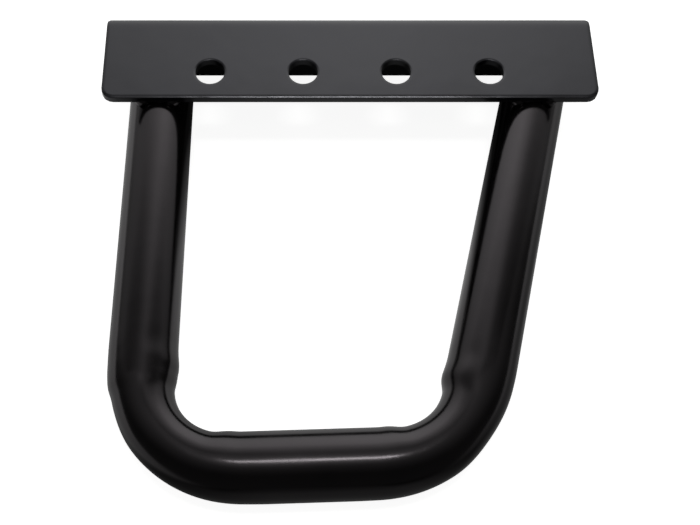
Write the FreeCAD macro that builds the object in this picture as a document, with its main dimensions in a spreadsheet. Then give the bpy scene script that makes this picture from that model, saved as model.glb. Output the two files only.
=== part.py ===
import FreeCAD, Part

import math
import os

import Sketcher
from FreeCAD import Placement, Rotation, Vector

# Ladder stabilizer: a bent steel angle with four bolt holes, and a loop of round tube
# welded under its plate.  Millimetres.  The origin is the middle of the row of holes, on
# the plate's upper face.  +X runs along the angle, +Y points back to the flange and
# +Z leaves the plate's face.  The loop reaches out towards -Y.

DIMENSIONS = {
    # mounting angle
    "angle_length": 269.9,
    "plate_depth": 57.15,
    "flange_height": 50.8,
    "sheet_thickness": 4.76,
    "inner_bend_radius": 3.8,
    "corner_radius": 6.5,
    "edge_break": 0.7,
    "hole_diameter": 15.9,
    "hole_pitch": 50.8,
    "hole_count": 4,
    "hole_setback": 17.2,
    # bent tube; a reach or a length is measured to the sharp corner of its centre line
    "tube_diameter": 34.93,
    "tube_wall": 2.1,
    "tube_clearance": 0.4,
    "end_gap": 2.3,
    "left_leg_offset": 104.6,
    "left_leg_lean": 0.6,
    "left_reach": 201.95,
    "left_bend_angle": 92.5,
    "left_bend_radius": 50.0,
    "bar_length": 158.2,
    "right_bend_angle": 74.3,
    "right_bend_radius": 56.0,
    # weld beads
    "groove_bead_radius": 4.3,
    "groove_bead_offset": 8.2,
    "groove_bead_depth": 1.4,
    "groove_bead_overhang": 1.4,
    "ring_bead_radius": 4.5,
    "ring_bead_standoff": 1.0,
}

LEFT, RIGHT = "left", "right"
X_AXIS, Y_AXIS, Z_AXIS = Vector(1, 0, 0), Vector(0, 1, 0), Vector(0, 0, 1)
START, END, CENTRE = 1, 2, 3  # the points of a sketch's line or arc
ORIGIN, SKETCH_X, SKETCH_Y = (-1, 1), -1, -2  # a sketch's own origin point and axes
SHARP = math.radians(30)  # faces that meet at more than this have an edge to break

doc = FreeCAD.newDocument("ladder_stabilizer")


# ---------------------------------------------------------------- sheet and helpers


def make_sheet():
    """Writes each dimension into a cell with its name as the alias."""
    made = doc.addObject("Spreadsheet::Sheet", "Sizes")
    for row, (alias, value) in enumerate(DIMENSIONS.items(), start=1):
        made.set(f"A{row}", alias)
        made.set(f"B{row}", str(value))
        made.setAlias(f"B{row}", alias)
    doc.recompute()
    return made


sheet = make_sheet()


def size(alias):
    return float(sheet.get(alias))


def bind(made, **expressions):
    """Binds properties of an object to expressions; S. stands for the sheet."""
    for name, expression in expressions.items():
        made.setExpression(name, expression.replace("S.", "Sizes."))
    return made


def plane(body, role):
    return next(f for f in body.Origin.OriginFeatures if f.Role == role)


def new_sketch(body, name, role):
    """A sketch on one of its body's own origin planes."""
    sketch = body.newObject("Sketcher::SketchObject", name)
    sketch.AttachmentSupport = [(plane(body, role), "")]
    sketch.MapMode = "FlatFace"
    return sketch


def constrain(sketch, kind, *where, value=None, formula=None):
    """Adds a constraint, and binds its value to a formula of the sheet's cells."""
    flat = [n for item in where for n in (item if isinstance(item, tuple) else (item,))]
    if value is not None:
        flat.append(value)
    index = sketch.addConstraint(Sketcher.Constraint(kind, *flat))
    if formula:
        sketch.setExpression(f"Constraints[{index}]", formula.replace("S.", "Sizes."))


def line(sketch, start, end):
    return sketch.addGeometry(Part.LineSegment(Vector(*start), Vector(*end)), False)


def arc(sketch, centre, radius, first, last):
    circle = Part.Circle(Vector(*centre), Z_AXIS, radius)
    turn = Part.ArcOfCircle(circle, math.radians(first), math.radians(last))
    return sketch.addGeometry(turn, False)


def join(name, kind, base, tools):
    """A cut or fuse of the objects, one after another."""
    for count, tool in enumerate(tools, start=1):
        made = doc.addObject(kind, f"{name}_step_{count}")
        made.Base = base
        made.Tool = tool
        base = made
    return base


# ---------------------------------------------------------------- derived places

y_front = -size("hole_setback")
y_back = y_front + size("plate_depth")
y_flange = y_back - size("sheet_thickness")  # the flange's inner face
tube_radius = size("tube_diameter") / 2
z_under = -size("sheet_thickness")  # the plate's underside
z_tube = z_under - size("tube_clearance") - tube_radius  # the loop's middle plane
bar_skew = size("left_bend_angle") - 90 - size("left_leg_lean")
right_lean = 90 - size("right_bend_angle") - bar_skew


def leg_direction(side):
    """The unit vector along a leg from the loop's bar back to the flange."""
    lean = size("left_leg_lean") if side == LEFT else right_lean
    return Vector(math.sin(math.radians(lean)), math.cos(math.radians(lean)), 0)


def leg_point(side, y):
    """Where a leg's axis crosses a plane of constant y."""
    along = leg_direction(side)
    if side == LEFT:
        known = Vector(-size("left_leg_offset"), y_front, z_tube)
    else:
        left = leg_point(LEFT, y_front) - leg_direction(LEFT) * size("left_reach")
        skew = math.radians(bar_skew)
        known = left + Vector(math.cos(skew), math.sin(skew), 0) * size("bar_length")
    return known + along * ((y - known.y) / along.y)


# ---------------------------------------------------------------- mounting angle


def angle_profile(body):
    """The L of the bent sheet, drawn in the YZ plane."""
    t, ri = size("sheet_thickness"), size("inner_bend_radius")
    ro, low = ri + t, -size("flange_height")
    pivot = (y_back - ro, -ro)
    sk = new_sketch(body, "angle_profile", "YZ_Plane")
    top = line(sk, (y_front, 0), (pivot[0], 0))
    outer = arc(sk, pivot, ro, 0, 90)
    back = line(sk, (y_back, pivot[1]), (y_back, low))
    toe = line(sk, (y_back, low), (y_flange, low))
    inside = line(sk, (y_flange, low), (y_flange, pivot[1]))
    inner = arc(sk, pivot, ri, 0, 90)
    under = line(sk, (pivot[0], -t), (y_front, -t))
    front = line(sk, (y_front, -t), (y_front, 0))
    constrain(sk, "Tangent", (top, END), (outer, END))
    constrain(sk, "Tangent", (outer, START), (back, START))
    constrain(sk, "Coincident", (back, END), (toe, START))
    constrain(sk, "Coincident", (toe, END), (inside, START))
    constrain(sk, "Tangent", (inside, END), (inner, START))
    constrain(sk, "Tangent", (inner, END), (under, START))
    constrain(sk, "Coincident", (under, END), (front, START))
    constrain(sk, "Coincident", (front, END), (top, START))
    constrain(sk, "Coincident", (outer, CENTRE), (inner, CENTRE))
    constrain(sk, "Horizontal", top)
    constrain(sk, "Vertical", back)
    constrain(sk, "Horizontal", toe)
    constrain(sk, "Vertical", front)
    constrain(sk, "PointOnObject", (top, START), SKETCH_X)
    constrain(sk, "DistanceX", (top, START), ORIGIN, value=-y_front, formula="S.hole_setback")
    constrain(
        sk, "DistanceX", (top, START), (back, END),
        value=size("plate_depth"), formula="S.plate_depth",
    )
    constrain(sk, "DistanceY", (back, END), ORIGIN, value=-low, formula="S.flange_height")
    constrain(sk, "DistanceY", (front, START), (front, END), value=t, formula="S.sheet_thickness")
    constrain(sk, "Radius", inner, value=ri, formula="S.inner_bend_radius")
    return sk


def corner_edges(shape):
    """The short straight edges across the sheet at its four free corners."""
    half, low = size("angle_length") / 2, -size("flange_height")
    found = []
    for number, edge in enumerate(shape.Edges, start=1):
        middle = edge.CenterOfMass
        across = abs(edge.Length - size("sheet_thickness")) < 1e-3
        at_corner = abs(middle.y - y_front) < 1e-3 or abs(middle.z - low) < 1e-3
        if across and at_corner and abs(abs(middle.x) - half) < 1e-3:
            found.append(f"Edge{number}")
    return found


def sharp_edges(shape):
    """The edges whose two faces don't run smoothly into each other."""
    found = []
    for number, edge in enumerate(shape.Edges, start=1):
        faces = shape.ancestorsOfType(edge, Part.Face)
        if len(faces) != 2:
            continue
        point = edge.valueAt((edge.FirstParameter + edge.LastParameter) / 2)
        normals = [f.normalAt(*f.Surface.parameter(point)) for f in faces]
        if normals[0].getAngle(normals[1]) > SHARP:
            found.append(f"Edge{number}")
    return found


def round_edges(body, name, base, edges, alias):
    made = body.newObject("PartDesign::Fillet", name)
    made.Base = (base, edges)
    return bind(made, Radius=f"S.{alias}")


def make_mounting_angle():
    """Sheared, punched and bent from one piece of sheet."""
    body = doc.addObject("PartDesign::Body", "mounting_angle")
    pad = body.newObject("PartDesign::Pad", "bent_sheet")
    pad.Profile = angle_profile(body)
    pad.SideType = "Symmetric"
    bind(pad, Length="S.angle_length")
    doc.recompute()
    corners = round_edges(
        body, "corner_rounding", pad, corner_edges(pad.Shape), "corner_radius"
    )
    doc.recompute()
    solid_volume = corners.Shape.Volume

    circle = new_sketch(body, "first_hole", "XY_Plane")
    first = -(size("hole_count") - 1) / 2 * size("hole_pitch")
    ring = circle.addGeometry(
        Part.Circle(Vector(first, 0, 0), Z_AXIS, size("hole_diameter") / 2), False
    )
    constrain(circle, "PointOnObject", (ring, CENTRE), SKETCH_X)
    constrain(
        circle, "DistanceX", (ring, CENTRE), ORIGIN,
        value=-first, formula="S.hole_pitch * (S.hole_count - 1) / 2",
    )
    constrain(circle, "Diameter", ring, value=size("hole_diameter"), formula="S.hole_diameter")
    hole = body.newObject("PartDesign::Pocket", "punched_hole")
    hole.Profile = circle
    bind(hole, Length="S.sheet_thickness")
    doc.recompute()
    row = body.newObject("PartDesign::LinearPattern", "hole_row")
    row.Originals = [hole]
    row.Direction = (circle, ["H_Axis"])
    bind(row, Length="S.hole_pitch * (S.hole_count - 1)", Occurrences="S.hole_count")
    body.Tip = row
    doc.recompute()
    punched = size("hole_count") * math.pi * (size("hole_diameter") / 2) ** 2
    removed = solid_volume - row.Shape.Volume
    if abs(removed - punched * size("sheet_thickness")) > 1:
        raise RuntimeError(f"the holes removed {removed:.1f} cubic mm")

    eased = round_edges(body, "eased_edges", row, sharp_edges(row.Shape), "edge_break")
    body.Tip = eased
    return body


# ---------------------------------------------------------------- bent tube


def tube_path(body):
    """The loop's centre line in its own frame: the left leg runs along -Y from the origin."""
    r1, r2 = size("left_bend_radius"), size("right_bend_radius")
    a1, a2 = size("left_bend_angle"), size("right_bend_angle")
    t1, t2 = (r * math.tan(math.radians(a / 2)) for r, a in ((r1, a1), (r2, a2)))
    behind = (left_end - leg_point(LEFT, y_front)).Length
    skew, last = math.radians(a1 - 90), math.radians(a1 - 90 + a2)
    drop = behind + size("left_reach") - t1
    bar = size("bar_length") - t1 - t2
    rise = size("left_reach") + size("plate_depth")

    def onward(point, heading, distance):
        return (
            point[0] + distance * math.cos(heading),
            point[1] + distance * math.sin(heading),
        )

    sk = new_sketch(body, "loop_path", "XY_Plane")
    first_turn = (0, -drop)
    pivot_1 = (r1, -drop)
    bar_start = onward(pivot_1, skew - math.pi / 2, r1)
    bar_end = onward(bar_start, skew, bar)
    pivot_2 = onward(bar_end, skew + math.pi / 2, r2)
    leg_start = onward(pivot_2, last - math.pi / 2, r2)
    leg_end = onward(leg_start, last, rise)

    left = line(sk, (0, 0), first_turn)
    bend_1 = arc(sk, pivot_1, r1, 180, 180 + a1)
    across = line(sk, bar_start, bar_end)
    bend_2 = arc(sk, pivot_2, r2, a1 - 180, a1 - 180 + a2)
    right = line(sk, leg_start, leg_end)
    constrain(sk, "Coincident", (left, START), ORIGIN)
    constrain(sk, "PointOnObject", (left, END), SKETCH_Y)
    constrain(sk, "Tangent", (left, END), (bend_1, START))
    constrain(sk, "Tangent", (bend_1, END), (across, START))
    constrain(sk, "Tangent", (across, END), (bend_2, START))
    constrain(sk, "Tangent", (bend_2, END), (right, START))
    constrain(sk, "Radius", bend_1, value=r1, formula="S.left_bend_radius")
    constrain(sk, "Radius", bend_2, value=r2, formula="S.right_bend_radius")
    constrain(sk, "Angle", bend_1, value=math.radians(a1), formula="S.left_bend_angle * 1 deg")
    constrain(sk, "Angle", bend_2, value=math.radians(a2), formula="S.right_bend_angle * 1 deg")
    constrain(
        sk, "Distance", left, value=drop,
        formula="(S.plate_depth - S.sheet_thickness - S.end_gap) / cos(S.left_leg_lean)"
        " + S.left_reach - S.left_bend_radius * tan(S.left_bend_angle / 2)",
    )
    constrain(
        sk, "Distance", across, value=bar,
        formula="S.bar_length - S.left_bend_radius * tan(S.left_bend_angle / 2)"
        " - S.right_bend_radius * tan(S.right_bend_angle / 2)",
    )
    constrain(sk, "Distance", right, value=rise, formula="S.left_reach + S.plate_depth")
    return sk


def tube_section(body):
    """The tube's outside and bore, across the start of the path."""
    sk = new_sketch(body, "tube_section", "XZ_Plane")
    for diameter, formula in (
        (size("tube_diameter"), "S.tube_diameter"),
        (size("tube_diameter") - 2 * size("tube_wall"), "S.tube_diameter - 2 * S.tube_wall"),
    ):
        ring = sk.addGeometry(Part.Circle(Vector(0, 0, 0), Z_AXIS, diameter / 2), False)
        constrain(sk, "Coincident", (ring, CENTRE), ORIGIN)
        constrain(sk, "Diameter", ring, value=diameter, formula=formula)
    return sk


def make_bent_tube():
    """One length of round tube with two bends, its right end mitred to the flange."""
    body = doc.addObject("PartDesign::Body", "tube_blank")
    pipe = body.newObject("PartDesign::AdditivePipe", "swept_tube")
    pipe.Profile = tube_section(body)
    pipe.Spine = (tube_path(body), [])
    body.Placement = Placement(left_end, Rotation(Z_AXIS, -size("left_leg_lean")))
    mitre = bind(
        doc.addObject("Part::Box", "mitre_cut"),
        Length="S.angle_length",
        Width="S.left_reach",
        Height="S.tube_diameter * 2",
    )
    # starts right of the left leg, whose end is already square
    mitre.Placement.Base = Vector(0, y_flange - size("end_gap"), z_tube - 2 * tube_radius)
    return join("bent_tube", "Part::Cut", body, [mitre])


left_end = leg_point(LEFT, y_flange - size("end_gap"))


# ---------------------------------------------------------------- welds


def make_leg_core(side):
    """A solid rod of the tube's outside, which shapes the beads laid against it."""
    rod = bind(
        doc.addObject("Part::Cylinder", f"{side}_leg_core"),
        Radius="S.tube_diameter / 2",
        Height="S.plate_depth * 2",
    )
    middle = leg_point(side, (y_front + y_back) / 2)
    along = leg_direction(side)
    start = middle - along * size("plate_depth")
    rod.Placement = Placement(start, Rotation(Z_AXIS, along))
    return rod


def make_groove_bead(side, flank, angle, core):
    """A bead in the groove between the tube and the plate, on one flank of a leg."""
    along = leg_direction(side)
    sideways = along.cross(Z_AXIS) * (1 if (flank == "inner") == (side == LEFT) else -1)
    radius = size("groove_bead_radius")
    start = leg_point(side, y_front) + sideways * size("groove_bead_offset")
    start.z = z_under - size("groove_bead_depth")
    start += along * ((y_front - start.y) / along.y)
    start += along * (radius - size("groove_bead_overhang"))
    finish = y_flange + size("sheet_thickness") / 6  # inside the flange's metal
    name = f"weld_{side}_{flank}"
    run = bind(
        doc.addObject("Part::Cylinder", f"{name}_run"),
        Radius="S.groove_bead_radius",
        Height=f"{(finish - start.y) / along.y} mm",
    )
    run.Placement = Placement(start, Rotation(Z_AXIS, along))
    nose = bind(doc.addObject("Part::Sphere", f"{name}_nose"), Radius="S.groove_bead_radius")
    nose.Placement.Base = start
    whole = join(f"{name}_whole", "Part::Fuse", run, [nose])
    return join(name, "Part::Cut", whole, [angle, core])


def make_end_bead(side, angle, core, groove_beads):
    """The fillet weld round a tube end on the flange, from one groove bead to the other."""
    ring = bind(
        doc.addObject("Part::Torus", f"{side}_ring"),
        Radius1="S.tube_diameter / 2",
        Radius2="S.ring_bead_radius",
    )
    seat = leg_point(side, y_flange - size("ring_bead_standoff"))
    ring.Placement = Placement(seat, Rotation(X_AXIS, 90))
    # nothing can be welded in the thin gap over the tube, between the two groove beads
    gap = bind(
        doc.addObject("Part::Box", f"{side}_unwelded_gap"),
        Length="S.groove_bead_offset * 2",
        Width="S.plate_depth",
        Height="S.sheet_thickness * 2",
    )
    gap.Placement.Base = Vector(seat.x - size("groove_bead_offset"), 0, z_under * 2)
    return join(f"weld_{side}_end", "Part::Cut", ring, [angle, core, gap, *groove_beads])


def make_welds(angle):
    """Three beads to a leg: one each side under the plate and one round its end."""
    beads = {}
    for side in (LEFT, RIGHT):
        core = make_leg_core(side)
        grooves = [make_groove_bead(side, flank, angle, core) for flank in ("outer", "inner")]
        beads[f"weld_{side}_outer"], beads[f"weld_{side}_inner"] = grooves
        beads[f"weld_{side}_end"] = make_end_bead(side, angle, core, grooves)
    return beads


# ---------------------------------------------------------------- build and write


def broken(made):
    return any(word in state for state in made.State for word in ("Invalid", "Error"))


def write_parts(parts):
    """Checks every object and every sub-part, then writes one STEP file for each."""
    failed = [made.Name for made in doc.Objects if broken(made)]
    if failed:
        raise RuntimeError(f"these objects failed: {failed}")
    for label, made in parts.items():
        if made.Shape.isNull() or not made.Shape.isValid() or len(made.Shape.Solids) != 1:
            raise RuntimeError(f"{label} is not one valid solid")
    os.makedirs("parts", exist_ok=True)
    for label, made in parts.items():
        made.Label = label
        made.Shape.exportStep(f"parts/{label}.step")
        box = made.Shape.BoundBox
        print(
            f"{label:18s} {made.Shape.Volume:8.0f} mm3"
            f"  x {box.XMin:8.2f} {box.XMax:8.2f}  y {box.YMin:8.2f} {box.YMax:8.2f}"
            f"  z {box.ZMin:7.2f} {box.ZMax:7.2f}"
        )


mounting_angle = make_mounting_angle()
sub_parts = {
    "mounting_angle": mounting_angle,
    "bent_tube": make_bent_tube(),
    **make_welds(mounting_angle),
}
doc.recompute()
write_parts(sub_parts)
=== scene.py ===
import math

import bmesh
import bpy
import numpy as np
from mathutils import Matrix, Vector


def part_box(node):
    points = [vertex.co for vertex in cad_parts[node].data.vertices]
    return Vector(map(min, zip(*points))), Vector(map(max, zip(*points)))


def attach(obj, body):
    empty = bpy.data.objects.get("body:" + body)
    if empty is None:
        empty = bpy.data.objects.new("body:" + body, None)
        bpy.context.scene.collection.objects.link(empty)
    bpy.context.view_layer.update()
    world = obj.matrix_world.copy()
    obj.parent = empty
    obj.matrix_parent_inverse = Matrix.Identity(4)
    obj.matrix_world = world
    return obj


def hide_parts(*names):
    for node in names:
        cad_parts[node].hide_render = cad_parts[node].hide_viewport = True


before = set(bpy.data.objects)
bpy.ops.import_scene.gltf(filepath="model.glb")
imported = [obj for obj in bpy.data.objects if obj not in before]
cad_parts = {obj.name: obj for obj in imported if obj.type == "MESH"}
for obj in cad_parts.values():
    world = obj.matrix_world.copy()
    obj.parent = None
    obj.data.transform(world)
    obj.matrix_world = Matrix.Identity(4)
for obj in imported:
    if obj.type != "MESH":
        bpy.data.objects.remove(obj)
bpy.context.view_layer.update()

mm = 0.001
mergeDistance = 0.001 * mm
angleLow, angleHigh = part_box("mounting_angle")
tubeLow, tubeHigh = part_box("bent_tube")
tubeRadius = (tubeHigh.z - tubeLow.z) / 2
tubeHeight = (tubeHigh.z + tubeLow.z) / 2  # of the loop's middle plane
print("frame:", len(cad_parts), "CAD nodes")


# A grid of points as a list, with a four-sided face for each of its cells. A wrapped side joins its
# last line to its first.
def gridSheet(points, wrapRows=False, wrapColumns=False, keep=None):
    index = np.arange(points.shape[0] * points.shape[1]).reshape(points.shape[:2])
    if wrapRows:
        index = np.concatenate([index, index[:1]])
    if wrapColumns:
        index = np.concatenate([index, index[:, :1]], axis=1)
    faces = np.stack([index[:-1, :-1], index[1:, :-1], index[1:, 1:], index[:-1, 1:]], axis=-1)
    if keep is not None:
        faces = faces[keep]
    return points.reshape(-1, 3), faces.reshape(-1, 4)


# Lines at every stop, and at even spaces of about a step between two stops.
def spacedLines(stops, step):
    spans = zip(stops[:-1], stops[1:])
    parts = [np.linspace(a, b, max(1, round((b - a) / step)), endpoint=False) for a, b in spans]
    return np.concatenate([*parts, stops[-1:]])


# The angles of a full turn at even spaces, up to its last step.
def fullTurn(count):
    return np.linspace(0, 2 * math.pi, count, endpoint=False)


# 0 before start, 1 after end, and a smooth rise between: t squared times (3 - 2 t).
def smoothStep(value, start, end):
    t = np.clip((value - start) / (end - start), 0, 1)
    return t * t * (3 - 2 * t)


# One closed piece from several sheets: their common points are merged and the faces turned outwards.
def makePiece(name, sheets, material, node):
    sheetPoints, sheetFaces = zip(*sheets)
    starts = np.cumsum([0] + [len(part) for part in sheetPoints])
    points = np.concatenate(sheetPoints)
    faces = np.concatenate([part + start for part, start in zip(sheetFaces, starts)])
    mesh = bpy.data.meshes.new(name)
    mesh.from_pydata(points.tolist(), [], faces.tolist())
    shell = bmesh.new()
    shell.from_mesh(mesh)
    bmesh.ops.remove_doubles(shell, verts=shell.verts, dist=mergeDistance)
    bmesh.ops.recalc_face_normals(shell, faces=shell.faces)
    openEdges = sum(not edge.is_manifold for edge in shell.edges)
    shell.to_mesh(mesh)
    shell.free()
    mesh.shade_smooth()
    mesh.materials.append(material)
    piece = bpy.data.objects.new(name, mesh)
    bpy.context.scene.collection.objects.link(piece)
    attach(piece, "root")
    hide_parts(node)
    print(f"{name}: {len(mesh.polygons)} faces, {openEdges} open edges")


# An sRGB hex colour as linear red, green, blue and alpha.
def hexColour(code):
    channels = [int(code[i : i + 2], 16) / 255 for i in (1, 3, 5)]
    return [c / 12.92 if c <= 0.04045 else ((c + 0.055) / 1.055) ** 2.4 for c in channels] + [1.0]


# A material's or a world's node tree, emptied.
def emptyTree(owner):
    owner.use_nodes = True
    owner.node_tree.nodes.clear()
    return owner.node_tree


# Adds a node. Settings are its own properties; an input takes a value or another node's output; a
# colour ramp takes its greys, as places from 0 to 1 with a level each.
def addNode(tree, kind, settings=None, inputs=None, greys=()):
    node = tree.nodes.new("ShaderNode" + kind)
    for name, value in (settings or {}).items():
        setattr(node, name, value)
    for number, (place, level) in enumerate(greys):
        elements = node.color_ramp.elements
        element = elements[number] if number < 2 else elements.new(1.0)  # a new ramp has two
        element.position = place
        element.color = (level, level, level, 1)
    for name, value in (inputs or {}).items():
        if isinstance(value, bpy.types.NodeSocket):
            tree.links.new(value, node.inputs[name])
        else:
            node.inputs[name].default_value = value
    return node


coatNoise = {"peel": (2.0, 0.5), "wave": (1.0, 0.4), "cloud": (3.0, 0.55)}  # detail and roughness
cloudRange = (0.3, 0.7)  # holds nearly all of a noise's values
coatIor = 1.5  # of baked polyester


# Polyester powder coat, sprayed dry and baked: the grains flow into one skin that never quite levels,
# so its gloss breaks up into a fine orange peel, over slow waves where the film is thicker. Clouds
# turn its colour and gloss a little. Each is a noise of its real size.
def powderCoat(name, look):
    material = bpy.data.materials.new(name)
    tree = emptyTree(material)
    place = addNode(tree, "TexCoord").outputs["Object"]
    noise = {}
    for part, (detail, roughness) in coatNoise.items():
        noise[part] = addNode(tree, "TexNoise", inputs={
            "Vector": place, "Scale": 1 / look[part + "Size"], "Detail": detail, "Roughness": roughness,
        }).outputs["Fac"]
    cloud = addNode(tree, "MapRange", inputs={
        "Value": noise["cloud"], "From Min": cloudRange[0], "From Max": cloudRange[1],
    }).outputs["Result"]
    tint = addNode(tree, "Mix", {"data_type": "RGBA"}, {  # sockets 6 and 7 are its two colours
        0: cloud, 6: hexColour(look["darkColour"]), 7: hexColour(look["paleColour"]),
    })
    gloss = addNode(tree, "MapRange", inputs={
        "Value": cloud,
        "To Min": look["roughness"] - look["roughnessSpread"],
        "To Max": look["roughness"] + look["roughnessSpread"],
    })
    swell = addNode(tree, "Bump", inputs={
        "Strength": 1.0, "Distance": look["waveHeight"], "Height": noise["wave"],
    })
    skin = addNode(tree, "Bump", inputs={
        "Strength": 1.0, "Distance": look["peelHeight"], "Height": noise["peel"],
        "Normal": swell.outputs["Normal"],
    })
    shader = addNode(tree, "BsdfPrincipled", inputs={
        "Base Color": tint.outputs[2], "Roughness": gloss.outputs["Result"],
        "Normal": skin.outputs["Normal"], "IOR": coatIor, "Metallic": 0.0,
        "Specular Tint": hexColour(look["glossTint"]),
    })
    addNode(tree, "OutputMaterial", inputs={"Surface": shader.outputs["BSDF"]})
    return material


# Gloss black powder coat on rolled sheet: the film lies thick on the flat, so that the eye sees soft
# clouds in a slightly bluish sheen, and the edges of reflections swim.
plateCoat = powderCoat("glossBlackPowderCoatOnSheet", {
    "darkColour": "#050506", "paleColour": "#131316", "glossTint": "#f8f8ff",
    "roughness": 0.15, "roughnessSpread": 0.03,
    "peelSize": 1.3 * mm, "peelHeight": 0.01 * mm,
    "waveSize": 16 * mm, "waveHeight": 0.16 * mm,
    "cloudSize": 30 * mm,
})
# The same coat on drawn tube: it lies thinner and more even on the curve, so that the eye sees a
# deeper, slightly warmer black with long, nearly clean lines of light.
tubeCoat = powderCoat("glossBlackPowderCoatOnTube", {
    "darkColour": "#020202", "paleColour": "#070606", "glossTint": "#fff6fb",
    "roughness": 0.17, "roughnessSpread": 0.03,
    "peelSize": 1.3 * mm, "peelHeight": 0.01 * mm,
    "waveSize": 11 * mm, "waveHeight": 0.05 * mm,
    "cloudSize": 25 * mm,
})
# The same coat over weld beads: it draws back from the crests and pools in between, so that the eye
# sees small broken glints on a deep black.
weldCoat = powderCoat("glossBlackPowderCoatOnWelds", {
    "darkColour": "#020202", "paleColour": "#050505", "glossTint": "#fff6fb",
    "roughness": 0.15, "roughnessSpread": 0.04,
    "peelSize": 1.0 * mm, "peelHeight": 0.012 * mm,
    "waveSize": 4 * mm, "waveHeight": 0.05 * mm,
    "cloudSize": 10 * mm,
})
print("materials ready")


# The mounting angle: one sheet, sheared, punched and bent over its whole length.
angleShape = {
    "thickness": 4.76 * mm,
    "innerBend": 3.8 * mm,
    "cornerRadius": 6.5 * mm,
    "edge": {"run": 1.1 * mm, "flank": 0.7 * mm, "rounding": 0.3 * mm},
    "rim": {"run": 0.7 * mm, "flank": 0.45 * mm, "rounding": 0.25 * mm},  # of a hole
    "rollSlope": math.radians(20),  # shears and punches draw the face down towards the edge they cut
    "burrRound": 0.5 * mm,  # of the edge they leave on the inner face
    "rollSteps": 6,
    "arcSteps": 5,
    "burrSteps": 3,
    "flankLines": (0.1, 0.9),  # two lines on the roll's straight flank keep its shading flat
    "holeRadius": 15.9 * mm / 2,
    "holePitch": 50.8 * mm,
    "holeCount": 4,
    "holeCellEnd": 34 * mm,  # how far back the rings of faces round the holes reach
    "ringShares": (0, 0.3, 0.55, 0.75, 0.9, 0.96),  # of the way from a cell's border to its hole's rim
    "gridStep": 2.5 * mm,
    "edgeSupport": 0.5 * mm,  # a grid line this near an edge keeps the flat shading flat
    "bendSteps": 12,
}
lineSlack = 1e-9  # finds a grid line in spite of rounding
outerBend = angleShape["innerBend"] + angleShape["thickness"]
halfLength = angleHigh.x
levelLength = angleHigh.y - outerBend - angleLow.y  # of the sheet, front edge to bend
bendLength = outerBend * math.pi / 2
sheetLength = levelLength + bendLength + angleHigh.z - outerBend - angleLow.z


# Where a point of the flat blank goes when it is bent: u runs along the angle, v back from the front
# edge over the bend and down the flange, w into the sheet from its outer face. The bend turns it on
# a circle of the outer radius less w.
def bendSheet(u, v, w):
    turn = np.clip((v - levelLength) / outerBend, 0, math.pi / 2)
    level = np.minimum(v, levelLength)
    down = np.maximum(v - levelLength - bendLength, 0)
    y = angleLow.y + level + (outerBend - w) * np.sin(turn)
    z = angleHigh.z - outerBend + (outerBend - w) * np.cos(turn) - down
    return np.stack(np.broadcast_arrays(u, y, z), axis=-1)


# The blank's rounded corners: a point outside the core of the sheet moves from its corner square onto
# a quarter disc, x times the root of (1 - y squared / 2), of the corner's radius less the inset.
def roundCorners(u, v, inset):
    corner = angleShape["cornerRadius"]
    coreU = np.clip(u, corner - halfLength, halfLength - corner)
    coreV = np.clip(v, corner, sheetLength - corner)
    p = (u - coreU) / corner
    q = (v - coreV) / corner
    reach = corner - inset
    return coreU + reach * p * np.sqrt(1 - q**2 / 2), coreV + reach * q * np.sqrt(1 - p**2 / 2)


# The sheet's edge from its outer face to its inner one, as how far it stands in from the edge and its
# depth: a parabola of this run down to the roll's slope, a straight flank, an arc on to the wall, the
# wall, and a quarter circle.
def edgeProfile(run, flank, rounding):
    shape = angleShape
    burr, support, slope = shape["burrRound"], shape["edgeSupport"], shape["rollSlope"]
    share = np.linspace(0, 1, shape["rollSteps"] + 1)
    turn = np.linspace(slope, math.pi / 2, shape["arcSteps"] + 1)
    small = np.linspace(math.pi / 2, 0, shape["burrSteps"] + 1)
    straight = flank * np.array(shape["flankLines"])
    arc = rounding * (1 - np.sin(turn))
    drop = run * math.tan(slope) / 2
    wall = drop + flank * math.tan(slope) + rounding * math.cos(slope)
    inset = np.concatenate([
        arc[0] + flank + run * (1 - share),
        arc[0] + flank - straight,
        arc,
        [0, 0],
        burr * (1 - np.sin(small)),
    ])
    depth = np.concatenate([
        drop * share**2,
        drop + straight * math.tan(slope),
        wall - rounding * np.cos(turn),
        [wall + support, shape["thickness"] - burr - support],
        shape["thickness"] - burr * (1 - np.cos(small)),
    ])
    return inset, depth


# The border of a block of the grid, as one ring.
def borderOf(block):
    return np.concatenate([block[:-1, 0], block[-1, :-1], block[:0:-1, -1], block[0, :0:-1]])


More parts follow.
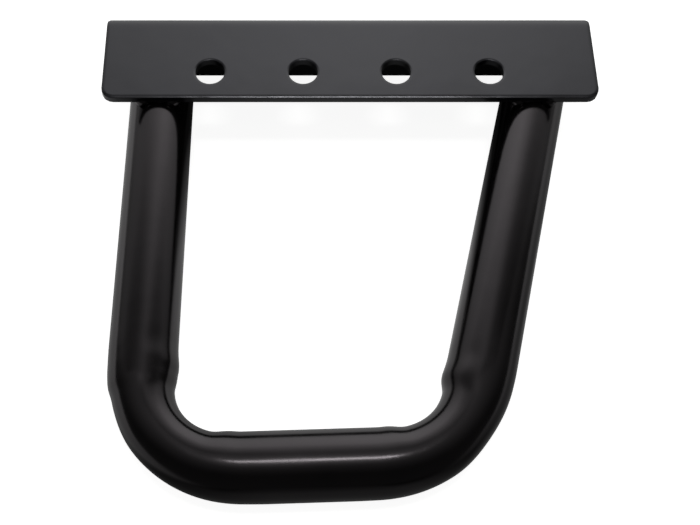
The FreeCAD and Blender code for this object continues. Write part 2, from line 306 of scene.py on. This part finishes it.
def makeAngle():
    shape = angleShape
    support, corner = shape["edgeSupport"], shape["cornerRadius"]
    cells = (np.arange(shape["holeCount"] + 1) - shape["holeCount"] / 2) * shape["holePitch"]
    half = np.array([halfLength, halfLength - support, halfLength - corner])
    acrossStops = np.concatenate([-half, cells, half[::-1]])
    bend = levelLength + bendLength * np.linspace(0, 1, shape["bendSteps"] + 1)
    end = sheetLength - np.array([corner, support, 0])
    backStops = np.concatenate([[0, support, corner, shape["holeCellEnd"]], bend, end])
    across = spacedLines(acrossStops, shape["gridStep"])
    back = spacedLines(backStops, shape["gridStep"])
    u, v = np.meshgrid(across, back, indexing="ij")

    # both faces, less the cells round the holes
    edges = np.searchsorted(across, cells - lineSlack)
    first, last = np.searchsorted(back, np.array([support, shape["holeCellEnd"]]) - lineSlack)
    keep = np.ones((len(across) - 1, len(back) - 1), bool)
    keep[edges[0] : edges[-1], first:last] = False
    inset, depth = edgeProfile(**shape["edge"])
    faceU, faceV = roundCorners(u, v, inset[0])
    backU, backV = roundCorners(u, v, shape["burrRound"])
    sheets = [
        gridSheet(bendSheet(faceU, faceV, 0), keep=keep),
        gridSheet(bendSheet(backU, backV, shape["thickness"]), keep=keep),
    ]

    # the edge all round
    rimU, rimV = roundCorners(borderOf(u), borderOf(v), inset[:, None])
    sheets.append(gridSheet(bendSheet(rimU, rimV, depth[:, None]), wrapColumns=True))

    # round a hole the faces run in rings from its cell's border to its rim, down its wall and out again
    inset, depth = edgeProfile(**shape["rim"])
    share = np.array(shape["ringShares"])[:, None]
    for left, right in zip(edges[:-1], edges[1:]):
        block = (slice(left, right + 1), slice(first, last + 1))
        middle = np.array([(across[left] + across[right]) / 2, -angleLow.y])
        border = borderOf(np.stack([faceU, faceV], axis=-1)[block]) - middle
        backBorder = borderOf(np.stack([backU, backV], axis=-1)[block]) - middle
        spoke = border / np.hypot(*border.T)[:, None]
        rims = [spoke * (shape["holeRadius"] + step) for step in inset]
        front = [border + part * (rims[0] - border) for part in share]
        behind = [backBorder + part * (rims[-1] - backBorder) for part in share[::-1]]
        rings = middle + np.array([*front, *rims, *behind])
        ringDepth = np.concatenate([0 * share[:, 0], depth, 0 * share[:, 0] + shape["thickness"]])
        points = bendSheet(rings[..., 0], rings[..., 1], ringDepth[:, None])
        sheets.append(gridSheet(points, wrapColumns=True))
    makePiece("mountingAngle", sheets, plateCoat, "mounting_angle")


makeAngle()


# The bent tube: one length with two bends, pressed without a mandrel.
tubeShape = {
    "wall": 2.1 * mm,
    "endGap": 2.3 * mm,  # between the tube's ends and the flange
    "leftOffset": 104.6 * mm,
    "leftLean": math.radians(0.6),
    "leftReach": 201.95 * mm,
    "barLength": 158.2 * mm,
    "endTrim": 40 * mm,  # the stretch over which the right end comes to lie along the flange
    "endRound": 0.3 * mm,
    "step": 1.6 * mm,
    "around": 96,
    "boreEvery": 4,  # the bore has one ring for so many of the skin's
    "flatBreadth": 3.0,  # the power of (1 + cosine) / 2 that flattens the inside of a bend
    "thinBreadth": 2,  # the power of (1 - cosine) / 2 that thins its outside
    "flatStart": 0.04,  # where a bend is flattened, as shares of its length
    "flatSpan": 0.9,
    "flatRise": 0.18,  # the shares of that span over which it comes and goes
    "flatFall": 0.24,
    "thinRamp": (-12 * mm, 8 * mm),  # where the thinning starts and is whole, from either end of a bend
}
leftBend = {
    "turn": math.radians(92.5),
    "radius": 50 * mm,
    "flattening": 4.5 * mm,  # of the inside of the bend, at its middle
    "ridge": 0.9 * mm, "ridgePlace": -2 * mm, "ridgeLength": 4.5 * mm,  # metal pushed back on the leg
    "thinning": 0.45 * mm,  # of the outside of the bend, all along it
    "dip": 0.95 * mm, "dipStart": 7 * mm, "dipFull": 13 * mm, "dipEnd": 34 * mm,  # more, at its start
    "dent": 0.12 * mm, "dentPlace": -10 * mm, "dentTurn": math.radians(71), "dentSize": 4 * mm,
}
rightBend = {
    "turn": math.radians(74.3),
    "radius": 56 * mm,
    "flattening": 4.2 * mm,
    "ridge": 1.0 * mm, "ridgePlace": 2 * mm, "ridgeLength": 4.5 * mm,
    "thinning": 0.25 * mm,
    "dip": 1.1 * mm, "dipStart": -8 * mm, "dipFull": 21 * mm, "dipEnd": 42 * mm,
    "dent": 0.12 * mm, "dentPlace": -7 * mm, "dentTurn": math.radians(63), "dentSize": 4 * mm,
}
flangeFace = angleHigh.y - angleShape["thickness"]
tubeEnd = flangeFace - tubeShape["endGap"]
underPlate = angleHigh.z - angleShape["thickness"]


# Points and headings along a line of runs and bends. A distance d into a piece of curvature k is at
# the end of a chord d * sin(k d / 2) / (k d / 2) long, at the piece's first heading plus k d / 2.
def alongPath(start, heading, pieces, distance):
    starts, points, headings = [0.0], [np.array(start)], [heading]
    for length, turn in pieces:
        chord = length * np.sinc(turn / 2 / math.pi)
        aim = headings[-1] + turn / 2
        points.append(points[-1] + chord * np.array([math.cos(aim), math.sin(aim)]))
        headings.append(headings[-1] + turn)
        starts.append(starts[-1] + length)
    piece = np.clip(np.searchsorted(starts, distance, side="right") - 1, 0, len(pieces) - 1)
    curvature = np.array([turn / length for length, turn in pieces])[piece]
    into = distance - np.array(starts)[piece]
    half = curvature * into / 2
    aim = np.array(headings)[piece] + half
    chord = (into * np.sinc(half / math.pi))[:, None]
    place = np.array(points)[piece] + chord * np.stack([np.cos(aim), np.sin(aim)], axis=-1)
    return place, aim + half


# How far a bend presses the wall in, at a distance q from its leg's end into the bend and an angle
# round the tube from the inside of the loop: the inside is flattened by a half sine over the bend and
# a ridge stands before it, the outside is drawn thin with a shallow dip near its start, and the leg's
# top has a small round dent. Ridge and dent are bell curves.
def pressedIn(bend, q, turn):
    shape = tubeShape
    length = bend["turn"] * bend["radius"]
    inside = ((1 + np.cos(turn)) / 2) ** shape["flatBreadth"]
    outside = ((1 - np.cos(turn)) / 2) ** shape["thinBreadth"]
    share = np.clip((q / length - shape["flatStart"]) / shape["flatSpan"], 0, 1)
    flat = bend["flattening"] * np.sin(math.pi * share)
    flat = flat * smoothStep(share, 0, shape["flatRise"]) * smoothStep(1 - share, 0, shape["flatFall"])
    ridge = bend["ridge"] * np.exp(-(((q - bend["ridgePlace"]) / bend["ridgeLength"]) ** 2) / 2)
    dip = bend["dip"] * smoothStep(q, bend["dipStart"], bend["dipFull"])
    dip = dip * (1 - smoothStep(q, bend["dipFull"], bend["dipEnd"]))
    ramp = shape["thinRamp"]
    thin = bend["thinning"] * smoothStep(q, *ramp) * smoothStep(length - q, *ramp)
    off = np.hypot(q - bend["dentPlace"], tubeRadius * (turn - bend["dentTurn"]))
    dent = bend["dent"] * np.exp(-((off / bend["dentSize"]) ** 2) / 2)
    return (flat - ridge) * inside + (dip + thin) * outside + dent


def legStart(y):  # on the left leg's axis
    return (y - angleLow.y) * math.tan(tubeShape["leftLean"]) - tubeShape["leftOffset"], y


# The loop's centre line, as runs and bends with their lengths and turns: the left leg, the bar and the
# right leg, which ends level with the left one.
corners = [bend["radius"] * math.tan(bend["turn"] / 2) for bend in (leftBend, rightBend)]
behindFront = (tubeEnd - angleLow.y) / math.cos(tubeShape["leftLean"])
loopPath = [
    (behindFront + tubeShape["leftReach"] - corners[0], 0.0),
    (leftBend["radius"] * leftBend["turn"], leftBend["turn"]),
    (tubeShape["barLength"] - sum(corners), 0.0),
    (rightBend["radius"] * rightBend["turn"], rightBend["turn"]),
]
loopStart = legStart(tubeEnd)
firstHeading = -math.pi / 2 - tubeShape["leftLean"]
bendEnds = np.cumsum([length for length, turn in loopPath])
places, headings = alongPath(loopStart, firstHeading, loopPath, bendEnds[-1:])
lastPlace, lastHeading = places[0], headings[0]
loopPath.append(((tubeEnd - lastPlace[1]) / math.sin(lastHeading), 0.0))
rightLean = math.pi / 2 - lastHeading


# The tube's skin, bore and ends in one closed grid: a circle carried along the path, less what the
# bends press in. The right end slides along its leg to lie along the flange.
def makeTube():
    shape = tubeShape
    length = bendEnds[-1] + loopPath[-1][0]
    edge = shape["endRound"]
    stops = np.concatenate([[0, edge], bendEnds, [length - edge, length]])
    skin = spacedLines(stops, shape["step"])
    bore = skin[:: -shape["boreEvery"]]
    if bore[-1] > 0:
        bore = np.append(bore, 0.0)
    distance = np.concatenate([skin, [length, length], bore, [0, 0]])
    near, far = edge, shape["wall"] - edge
    inset = np.concatenate([0 * skin, [near, far], 0 * bore + shape["wall"], [far, near]])
    turn = fullTurn(shape["around"])
    place, heading = alongPath(loopStart, firstHeading, loopPath, distance)

    beyond = distance[:, None]
    pressed = pressedIn(leftBend, beyond - bendEnds[0], turn)
    pressed = pressed + pressedIn(rightBend, bendEnds[3] - beyond, turn)
    radius = tubeRadius - inset[:, None] - pressed
    inward = np.stack([-np.sin(heading), np.cos(heading)], axis=-1)[:, None, :]
    onward = np.stack([np.cos(heading), np.sin(heading)], axis=-1)[:, None, :]
    level = place[:, None, :] + (radius * np.cos(turn))[..., None] * inward
    slide = -radius * np.cos(turn) * math.tan(rightLean)
    nearEnd = smoothStep(beyond, length - shape["endTrim"], length)
    level = level + (nearEnd * slide)[..., None] * onward
    z = tubeHeight + radius * np.sin(turn)
    points = np.concatenate([level, z[..., None]], axis=-1)
    sheet = gridSheet(points, wrapRows=True, wrapColumns=True)
    makePiece("bentTube", [sheet], tubeCoat, "bent_tube")


makeTube()


# The weld beads under the coat: one along each side of a leg, in the groove between tube and plate,
# and one round the leg's end.
weldShape = {
    "grooveRadius": 4.3 * mm,
    "grooveOffset": 8.2 * mm,  # of a groove bead's middle from the leg's axis
    "grooveDepth": 1.4 * mm,  # of its middle under the plate
    "grooveFacing": math.radians(-25),  # the middle of its free face
    "overhang": 1.4 * mm,  # of its nose in front of the plate
    "plateStart": 0.5 * mm,  # how far behind the plate's front edge the plate starts to stop it
    "ringRadius": 4.5 * mm,
    "ringStandoff": 1.0 * mm,  # of the end bead's middle from the flange
    "ringFacing": math.radians(45),
    "bite": 0.3 * mm,  # how deep a bead sits in the metal beside it
    "ripplePitch": 1.7 * mm,
    "rippleHeight": 0.22 * mm,
    "rippleMean": 0.6,  # about that of the size of a sine
    "rippleLag": 1.1 * mm,  # how far its sides run behind its middle
    "ripplePhases": (0.4, 1.7, 2.3),  # of a leg's left, right and end bead
    "wander": 0.3 * mm,  # slow change of a bead's size
    "wanderLengths": (5.3 * mm, 11.7 * mm),
    "cornerPower": -10.0,  # further from zero, sharper corners between a bead's faces
    "noseSteps": 9,
    "step": 0.28 * mm,
    "around": 32,
}
leastSpeed = 0.02  # a slower ray counts as never reaching a plane
farAway = 1.0
beadRise = underPlate - weldShape["grooveDepth"] - tubeHeight  # of its middle over the tube's


# The smaller of several lengths, with the corners between them rounded: each is raised to a negative
# power, and the root of that power is taken of the sum.
def softLeast(*lengths):
    power = weldShape["cornerPower"]
    return sum(length**power for length in lengths) ** (1 / power)


# The distance along a ray at which it meets a plane that lies gap away, for the ray's share of speed
# towards the plane; far away if it never does.
def planeHit(gap, speed):
    return np.where(speed > leastSpeed, gap / np.maximum(speed, leastSpeed), farAway)


# A bead's free face: its radius with crescent ripples, the size of a sine, that lag towards its sides,
# and a slow wander, the product of two sines.
def beadFace(radius, distance, turn, facing, phase):
    shape = weldShape
    lag = shape["rippleLag"] * (1 - np.cos(turn - facing))
    along = math.pi * (distance + lag) / shape["ripplePitch"]
    ripple = np.abs(np.sin(along + phase)) - shape["rippleMean"]
    short, long = shape["wanderLengths"]
    wander = np.sin(distance / short + phase * 3) * np.sin(distance / long + phase)
    return radius - shape["rippleHeight"] + shape["rippleHeight"] * ripple + shape["wander"] * wander


# Where a bead's sections stand: close together over its round nose, then a step apart.
def beadStations(length, radius):
    nose = radius * (1 - np.cos(np.linspace(0, math.pi / 2, weldShape["noseSteps"] + 1)))
    return spacedLines(np.concatenate([nose, [length]]), weldShape["step"])


# The share of its size that a bead has at a distance from its end, which closes like a ball: the root
# of 1 less the square of (1 - distance / radius).
def ballEnd(distance, radius):
    return np.sqrt(1 - np.clip(1 - distance / radius, 0, 1) ** 2)


# A bead in the groove between tube and plate: from its centre line a ray ends at the plate, at the
# tube or at the bead's own face, whichever comes first.
def makeGrooveBead(side, flank, lean, foot, phase):
    shape = weldShape
    radius = shape["grooveRadius"]
    along = np.array([math.sin(lean), math.cos(lean), 0])
    outward = np.array([math.cos(lean), -math.sin(lean), 0]) * flank
    start = foot + outward * shape["grooveOffset"]
    start = start + along * (angleLow.y - start[1]) / along[1]
    start = start - along * shape["overhang"]
    length = (flangeFace + shape["bite"] - start[1]) / along[1]
    distance = beadStations(length, radius)[:, None]
    turn = fullTurn(shape["around"])
    face = beadFace(radius, distance, turn, shape["grooveFacing"], phase)
    underneath = distance > shape["overhang"] + shape["plateStart"]
    plate = planeHit(shape["grooveDepth"] + shape["bite"], np.sin(turn))
    plate = np.where(underneath, plate, farAway)
    towards = -(shape["grooveOffset"] * np.cos(turn) + beadRise * np.sin(turn))
    core = tubeRadius - shape["bite"]
    gap = shape["grooveOffset"] ** 2 + beadRise**2 - core**2
    reach = towards**2 - gap
    tube = np.where((reach > 0) & (towards > 0), towards - np.sqrt(np.maximum(reach, 0)), farAway)
    ray = softLeast(face, plate, tube) * ballEnd(distance, radius)
    middle = start + distance[..., None] * along
    points = middle + (ray * np.cos(turn))[..., None] * outward
    points[..., 2] = underPlate - shape["grooveDepth"] + ray * np.sin(turn)
    closing = np.broadcast_to(points[-1].mean(axis=0), points[-1:].shape)
    sheet = gridSheet(np.concatenate([points, closing]), wrapColumns=True)
    flankName = "Outer" if (flank < 0) == (side == "left") else "Inner"
    node = f"weld_{side}_{flankName.lower()}"
    makePiece(f"weld{side.title()}{flankName}", [sheet], weldCoat, node)


# The bead round a tube's end, from one groove bead down and round to the other: its section's rays
# end at the tube's wall, at the flange or at the bead's own face.
def makeEndBead(side, foot, phase):
    shape = weldShape
    radius = shape["ringRadius"]
    top = math.atan2(beadRise, shape["grooveOffset"])
    sweep = math.pi + 2 * top
    length = sweep * tubeRadius
    half = beadStations(length / 2, radius)
    distance = np.concatenate([half, length - half[-2::-1]])[:, None]
    angle = top - distance / tubeRadius
    turn = fullTurn(shape["around"])
    face = beadFace(radius, distance, turn, shape["ringFacing"], phase)
    flange = planeHit(shape["ringStandoff"] + shape["bite"], -np.sin(turn))
    tube = planeHit(shape["bite"], -np.cos(turn))
    nearest = np.minimum(distance, length - distance)
    ray = softLeast(face, flange, tube) * ballEnd(nearest, radius)
    out = tubeRadius + ray * np.cos(turn)
    y = flangeFace - shape["ringStandoff"] - ray * np.sin(turn)
    points = np.stack([foot[0] + out * np.cos(angle), y, tubeHeight + out * np.sin(angle)], axis=-1)
    sheet = gridSheet(points, wrapColumns=True)
    makePiece(f"weld{side.title()}End", [sheet], weldCoat, f"weld_{side}_end")


def makeWelds():
    leftFoot = np.array([*legStart(flangeFace), 0])
    rightX = lastPlace[0] + (flangeFace - lastPlace[1]) * math.tan(rightLean)
    rightFoot = np.array([rightX, flangeFace, 0])
    legs = {"left": (tubeShape["leftLean"], leftFoot), "right": (rightLean, rightFoot)}
    for number, (side, (lean, foot)) in enumerate(legs.items()):
        leftPhase, rightPhase, endPhase = (phase + number for phase in weldShape["ripplePhases"])
        makeGrooveBead(side, -1, lean, foot, leftPhase)
        makeGrooveBead(side, 1, lean, foot, rightPhase)
        makeEndBead(side, foot, endPhase)


makeWelds()


# A grey that follows a value through stops, each a value and its level from 0 to 1.
def greyAlong(tree, value, stops):
    low, high = stops[0][0], stops[-1][0]
    share = addNode(tree, "MapRange", inputs={"Value": value, "From Min": low, "From Max": high})
    greys = [((place - low) / (high - low), level) for place, level in stops]
    return addNode(tree, "ValToRGB", None, {"Fac": share.outputs[0]}, greys).outputs["Color"]


# The product of two such greys along two axes of a stage piece's own coordinates.
def greyOver(tree, first, firstStops, second, secondStops):
    place = addNode(tree, "SeparateXYZ", inputs={0: addNode(tree, "TexCoord").outputs["Object"]})
    return addNode(tree, "Math", {"operation": "MULTIPLY"}, {
        0: greyAlong(tree, place.outputs[first], firstStops),
        1: greyAlong(tree, place.outputs[second], secondStops),
    }).outputs[0]


def makeSurface(name, points, material):
    points, faces = gridSheet(points)
    mesh = bpy.data.meshes.new(name)
    mesh.from_pydata(points.tolist(), [], faces.tolist())
    mesh.materials.append(material)
    surface = bpy.data.objects.new(name, mesh)
    bpy.context.scene.collection.objects.link(surface)
    return surface


# The table. Outside and between the legs, the gloss sees a glow of painted light and shade, whose levels
# follow X and Y in metres.
floorShape = {
    "size": 8.0,
    "colour": "#c8c8c6",
    "glow": 0.92,  # lifts what the eye sees of it to white
    "outsideAcross": [
        (-1, 0.6), (-0.3, 0.8), (-0.2, 0.6), (-0.14, 0.42), (-0.12, 0), (0.12, 0), (0.13, 0.18),
        (0.17, 0.2), (0.26, 0.42), (0.5, 0.5), (1, 0.5),
    ],
    "outsideAlong": [
        (-0.5, 0.1), (-0.36, 0.25), (-0.28, 0.6), (-0.2, 0.8), (-0.1, 0.85), (0, 1), (1, 1),
    ],
    "betweenAcross": [
        (-0.13, 0), (-0.12, 0.4), (-0.09, 0.5), (-0.04, 1), (0.04, 1), (0.09, 0.5), (0.12, 0.4),
        (0.13, 0),
    ],
    "betweenAlong": [
        (-0.5, 0.08), (-0.36, 0.1), (-0.28, 0.16), (-0.23, 0.1), (-0.19, 0.3), (-0.12, 0.6),
        (-0.08, 0.65), (-0.04, 0.2), (0, 0.02), (0.04, 0.02), (0.07, 0.5), (0.3, 0.8),
    ],
}


# The object lies on the flange's lower edge and the bar's underside, so the floor is the line through
# the one that touches the other: it falls by the bar's rise over the edge, less the angle that the
# bar's radius takes. The eye sees a white table; the object's gloss sees a glow instead, with the
# object's shadow painted into it: painted shade, dark between the legs near the plate and fading away in
# front.
def makeFloor():
    shape = floorShape
    run = angleHigh.y - (tubeLow.y + tubeRadius)
    rise = tubeHeight - angleLow.z
    slope = math.atan2(rise, run) - math.asin(tubeRadius / math.hypot(run, rise))
    side = shape["size"] * np.array([-1, 1])
    x, y = np.meshgrid(side, side, indexing="ij")
    z = angleLow.z - (y - angleHigh.y) * math.tan(slope)

    material = bpy.data.materials.new("whiteTableWithPaintedShade")
    tree = emptyTree(material)
    # painted shade and light: the glow that the gloss sees carries the object's shadow as grey levels
    outside = greyOver(tree, "X", shape["outsideAcross"], "Y", shape["outsideAlong"])
    between = greyOver(tree, "X", shape["betweenAcross"], "Y", shape["betweenAlong"])
    level = addNode(tree, "Math", {"operation": "ADD"}, {0: outside, 1: between})
    paintedShadeGlow = addNode(tree, "Emission", inputs={"Color": level.outputs[0], "Strength": 1.0})
    matt = addNode(tree, "BsdfDiffuse", inputs={"Color": hexColour(shape["colour"])})
    glow = addNode(tree, "Emission", inputs={"Color": (1, 1, 1, 1), "Strength": shape["glow"]})
    white = addNode(tree, "AddShader", inputs={0: matt.outputs[0], 1: glow.outputs[0]})
    seen = addNode(tree, "LightPath").outputs["Is Camera Ray"]
    mix = addNode(tree, "MixShader", inputs={0: seen, 1: paintedShadeGlow.outputs[0], 2: white.outputs[0]})
    addNode(tree, "OutputMaterial", inputs={"Surface": mix.outputs[0]})
    makeSurface("floor", np.stack([x, y, z], axis=-1), material)


backdropShape = {
    "behind": 0.3,  # how far behind the origin it stands
    "top": 1.3,
    "side": 1.2,
    "level": 1.75,
    "across": [
        (-1.2, 0.17), (-0.76, 0.24), (-0.44, 0.38), (-0.29, 0.56), (-0.13, 0.83), (0, 1),
        (0.06, 1), (0.19, 0.83), (0.29, 0.6), (0.44, 0.38), (0.76, 0.22), (1.2, 0.15),
    ],
    "up": [
        (-0.05, 0.55), (0.08, 0.77), (0.14, 0.92), (0.25, 1), (0.4, 1), (0.46, 0.86),
        (0.52, 0.72), (0.7, 0.47), (0.92, 0.31), (1.3, 0.22),
    ],
}


# A lit backdrop close behind the object, brightest low in its middle, that the eye itself never sees.
def makeBackdrop():
    shape = backdropShape
    material = bpy.data.materials.new("litPaperBackdrop")
    tree = emptyTree(material)
    level = greyOver(tree, "X", shape["across"], "Z", shape["up"])
    shader = addNode(tree, "Emission", inputs={"Color": level, "Strength": shape["level"]})
    addNode(tree, "OutputMaterial", inputs={"Surface": shader.outputs[0]})
    side = shape["side"] * np.array([-1, 1])
    height = np.array([angleLow.z, shape["top"]])
    x, z = np.meshgrid(side, height, indexing="ij")
    points = np.stack([x, 0 * x + shape["behind"], z], axis=-1)
    makeSurface("backdrop", points, material).visible_camera = False


# The room's levels follow the angle, in degrees, from a direction behind the object and from the zenith.
roomShape = {
    "elevation": math.radians(55),  # of the direction behind
    "fromBehind": [
        (0, 0.42), (18, 0.42), (32, 0.34), (50, 0.21), (60, 0.14), (70, 0.08), (80, 0.05),
        (110, 0.06), (180, 0.06),
    ],
    "fromZenith": [(0, 0.5), (8, 0.4), (14, 0.12), (20, 0), (180, 0)],
}


# The rest of the room: dim above and behind, dimmer with the angle from there, with a faint pool of
# light overhead, where the lamp hangs. The eye sees white.
def makeWorld():
    shape = roomShape
    world = bpy.data.worlds.new("studio")
    bpy.context.scene.world = world
    tree = emptyTree(world)
    direction = addNode(tree, "TexCoord").outputs["Generated"]
    behind = (0, math.cos(shape["elevation"]), math.sin(shape["elevation"]))
    parts = []
    for centre, stops in ((behind, shape["fromBehind"]), ((0, 0, 1), shape["fromZenith"])):
        dot = addNode(tree, "VectorMath", {"operation": "DOT_PRODUCT"}, {0: direction, 1: centre})
        angle = addNode(tree, "Math", {"operation": "ARCCOSINE"}, {0: dot.outputs["Value"]})
        turns = [(math.radians(degrees), level) for degrees, level in stops]
        colour = greyAlong(tree, angle.outputs[0], turns)
        parts.append(addNode(tree, "Background", inputs={"Color": colour, "Strength": 1.0}))
    light = addNode(tree, "AddShader", inputs={0: parts[0].outputs[0], 1: parts[1].outputs[0]})
    white = addNode(tree, "Background", inputs={"Color": (1, 1, 1, 1), "Strength": 1.0})
    seen = addNode(tree, "LightPath").outputs["Is Camera Ray"]
    mix = addNode(tree, "MixShader", inputs={0: seen, 1: light.outputs[0], 2: white.outputs[0]})
    addNode(tree, "OutputWorld", inputs={"Surface": mix.outputs[0]})


lampShape = {
    "place": (0.05, -0.2, 1.5),
    "size": (0.45, 0.12),
    "radiance": 14.0,
}


# A narrow softbox high over the bar. Its power is radiance times pi times its area.
def makeLamp():
    lamp = bpy.data.lights.new("overheadSoftbox", "AREA")
    lamp.shape = "RECTANGLE"
    lamp.size, lamp.size_y = lampShape["size"]
    lamp.energy = lampShape["radiance"] * math.pi * lamp.size * lamp.size_y
    piece = bpy.data.objects.new("overheadSoftbox", lamp)
    piece.location = lampShape["place"]
    piece.visible_camera = False
    bpy.context.scene.collection.objects.link(piece)


cameraShape = {
    "sensor": 36,  # its width, and the lens, in millimetres
    "lens": 60.09,
    "shift": (0.0797, 0.028),
    "place": (-30.27 * mm, -391.2 * mm, 517.14 * mm),
    "tilt": math.radians(26.89),
}


def makeCamera():
    data = bpy.data.cameras.new("camera")
    data.sensor_width = cameraShape["sensor"]
    data.lens = cameraShape["lens"]
    data.shift_x, data.shift_y = cameraShape["shift"]
    camera = bpy.data.objects.new("camera", data)
    camera.location = cameraShape["place"]
    camera.rotation_euler = (cameraShape["tilt"], 0, 0)
    bpy.context.scene.collection.objects.link(camera)
    bpy.context.scene.camera = camera


makeFloor()
makeBackdrop()
makeWorld()
makeLamp()
makeCamera()
bpy.context.scene.view_settings.view_transform = "Standard"
print("stage ready")
